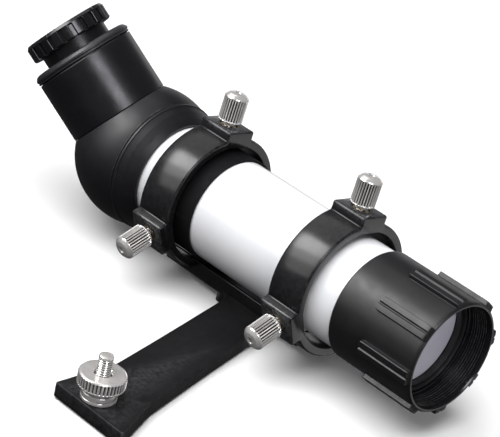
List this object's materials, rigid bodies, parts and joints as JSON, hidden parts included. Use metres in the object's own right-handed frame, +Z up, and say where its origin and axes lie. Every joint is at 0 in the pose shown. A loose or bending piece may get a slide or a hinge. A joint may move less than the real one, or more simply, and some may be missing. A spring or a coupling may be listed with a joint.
{
  "type": "finder scope",
  "caption": "Right-angle finder scope: white tube with ribbed objective housing and 45 degree erecting diagonal, held by thumbscrews in a two-ring bracket with a clamped foot.",
  "frame": {"origin": "on the seat face under the bracket's foot, 8.6 mm from the stud's axis towards the tube", "axes": "+X along the tube towards the objective, +Z up from the seat along the stud, the foot on the tube's -Y side"},
  "size_m": [0.1665, 0.1115, 0.0649],
  "materials": {
    "gloss_black": "semi-gloss moulded black",
    "satin_black": "satin, fine grain",
    "rubber": "matt black",
    "white_enamel": "gloss white enamel",
    "nickel": "bright nickel plate",
    "brass": "turned brass",
    "glass": "coated optical glass",
    "dark_metal": "black anodised"
  },
  "bodies": {
    "bracket": {"bracket": "gloss_black", "mount_stud": "nickel", "insert_front_top": "brass", "insert_front_foot_side": "brass", "insert_front_far_side": "brass", "insert_rear_top": "brass", "insert_rear_foot_side": "brass", "insert_rear_far_side": "brass"},
    "band": {"tube_band": "rubber"},
    "tube": {"tube": "white_enamel", "glare_stop": "dark_metal", "collar": "satin_black"},
    "objective": {"objective_cell": "dark_metal", "flint_lens": "glass", "crown_lens": "glass", "lens_retainer": "dark_metal"},
    "housing": {"objective_housing": "gloss_black"},
    "diagonal": {"prism_housing": "satin_black", "prism": "glass", "prism_clip": "nickel", "eyepiece_barrel": "satin_black", "barrel_cap": "rubber", "reticle_holder": "dark_metal", "reticle_glass": "glass"},
    "eyepiece": {"eyepiece_sleeve": "satin_black", "field_lens": "glass", "lens_spacer": "dark_metal", "eye_lens": "glass"},
    "focus": {"focus_ring": "gloss_black"},
    "washer": {"nut_washer": "nickel"},
    "nut": {"thumb_nut": "nickel"},
    "shank_front_top": {"shank_front_top": "nickel"},
    "head_front_top": {"head_front_top": "nickel"},
    "shank_front_foot_side": {"shank_front_foot_side": "nickel"},
    "head_front_foot_side": {"head_front_foot_side": "nickel"},
    "shank_front_far_side": {"shank_front_far_side": "nickel"},
    "head_front_far_side": {"head_front_far_side": "nickel"},
    "shank_rear_top": {"shank_rear_top": "nickel"},
    "head_rear_top": {"head_rear_top": "nickel"},
    "shank_rear_foot_side": {"shank_rear_foot_side": "nickel"},
    "head_rear_foot_side": {"head_rear_foot_side": "nickel"},
    "shank_rear_far_side": {"shank_rear_far_side": "nickel"},
    "head_rear_far_side": {"head_rear_far_side": "nickel"}
  },
  "joints": [
    {"name": "tube_yaw", "type": "hinge", "parent": "bracket", "child": "band", "pos_m": [-0.0435, 0.069, 0.0254], "axis": [0, 0, 1], "range_deg": [-0.8, 0.8]},
    {"name": "tube_pitch", "type": "hinge", "parent": "band", "child": "tube", "pos_m": [-0.0435, 0.069, 0.0254], "axis": [0, 1, 0], "range_deg": [-0.8, 0.8]},
    {"name": "objective_travel", "type": "slide", "parent": "tube", "child": "objective", "axis": [1, 0, 0], "range_m": [-0.00074, 0.00074]},
    {"name": "objective_turn", "type": "hinge", "parent": "objective", "child": "housing", "pos_m": [0.036, 0.069, 0.0254], "axis": [1, 0, 0], "range_deg": [-359, 359]},
    {"name": "diagonal_turn", "type": "hinge", "parent": "tube", "child": "diagonal", "pos_m": [-0.0737, 0.069, 0.0254], "axis": [1, 0, 0], "range_deg": [-180, 180]},
    {"name": "eyepiece_travel", "type": "slide", "parent": "diagonal", "child": "eyepiece", "axis": [-0.7071, -0.2649, 0.6556], "range_m": [-0.0015, 0.0025]},
    {"name": "focus_turn", "type": "hinge", "parent": "eyepiece", "child": "focus", "pos_m": [-0.0737, 0.069, 0.0254], "axis": [-0.7071, -0.2649, 0.6556], "range_deg": [-271, 451]},
    {"name": "front_top_travel", "type": "slide", "parent": "bracket", "child": "shank_front_top", "axis": [0, 0.1305, 0.9914], "range_m": [0, 0.003]},
    {"name": "front_top_turn", "type": "hinge", "parent": "shank_front_top", "child": "head_front_top", "pos_m": [0.007, 0.069, 0.0254], "axis": [0, 0.1305, 0.9914], "range_deg": [0, 1544]},
    {"name": "front_foot_side_travel", "type": "slide", "parent": "bracket", "child": "shank_front_foot_side", "axis": [0, -0.9336, -0.3584], "range_m": [0, 0.003]},
    {"name": "front_foot_side_turn", "type": "hinge", "parent": "shank_front_foot_side", "child": "head_front_foot_side", "pos_m": [0.007, 0.069, 0.0254], "axis": [0, -0.9336, -0.3584], "range_deg": [0, 1544]},
    {"name": "front_far_side_travel", "type": "slide", "parent": "bracket", "child": "shank_front_far_side", "axis": [0, 0.7771, -0.6293], "range_m": [0, 0.003]},
    {"name": "front_far_side_turn", "type": "hinge", "parent": "shank_front_far_side", "child": "head_front_far_side", "pos_m": [0.007, 0.069, 0.0254], "axis": [0, 0.7771, -0.6293], "range_deg": [0, 1544]},
    {"name": "rear_top_travel", "type": "slide", "parent": "bracket", "child": "shank_rear_top", "axis": [0, 0.1305, 0.9914], "range_m": [0, 0.003]},
    {"name": "rear_top_turn", "type": "hinge", "parent": "shank_rear_top", "child": "head_rear_top", "pos_m": [-0.047, 0.069, 0.0254], "axis": [0, 0.1305, 0.9914], "range_deg": [0, 1544]},
    {"name": "rear_foot_side_travel", "type": "slide", "parent": "bracket", "child": "shank_rear_foot_side", "axis": [0, -0.9336, -0.3584], "range_m": [0, 0.003]},
    {"name": "rear_foot_side_turn", "type": "hinge", "parent": "shank_rear_foot_side", "child": "head_rear_foot_side", "pos_m": [-0.047, 0.069, 0.0254], "axis": [0, -0.9336, -0.3584], "range_deg": [0, 1544]},
    {"name": "rear_far_side_travel", "type": "slide", "parent": "bracket", "child": "shank_rear_far_side", "axis": [0, 0.7771, -0.6293], "range_m": [0, 0.003]},
    {"name": "rear_far_side_turn", "type": "hinge", "parent": "shank_rear_far_side", "child": "head_rear_far_side", "pos_m": [-0.047, 0.069, 0.0254], "axis": [0, 0.7771, -0.6293], "range_deg": [0, 1544]},
    {"name": "nut_travel", "type": "slide", "parent": "bracket", "child": "washer", "axis": [0, 0, 1], "range_m": [0, 0.005]},
    {"name": "nut_turn", "type": "hinge", "parent": "washer", "child": "nut", "pos_m": [0, -0.0086, 0.01], "axis": [0, 0, 1], "range_deg": [0, 2573]}
  ],
  "couplings": [
    {"joint": "objective_turn", "follows": "objective_travel", "rad_per_m": 8377.6},
    {"joint": "focus_turn", "follows": "eyepiece_travel", "rad_per_m": 3141.6},
    {"joint": "front_top_turn", "follows": "front_top_travel", "rad_per_m": 8976},
    {"joint": "front_foot_side_turn", "follows": "front_foot_side_travel", "rad_per_m": 8976},
    {"joint": "front_far_side_turn", "follows": "front_far_side_travel", "rad_per_m": 8976},
    {"joint": "rear_top_turn", "follows": "rear_top_travel", "rad_per_m": 8976},
    {"joint": "rear_foot_side_turn", "follows": "rear_foot_side_travel", "rad_per_m": 8976},
    {"joint": "rear_far_side_turn", "follows": "rear_far_side_travel", "rad_per_m": 8976},
    {"joint": "nut_turn", "follows": "nut_travel", "rad_per_m": 8976}
  ]
}
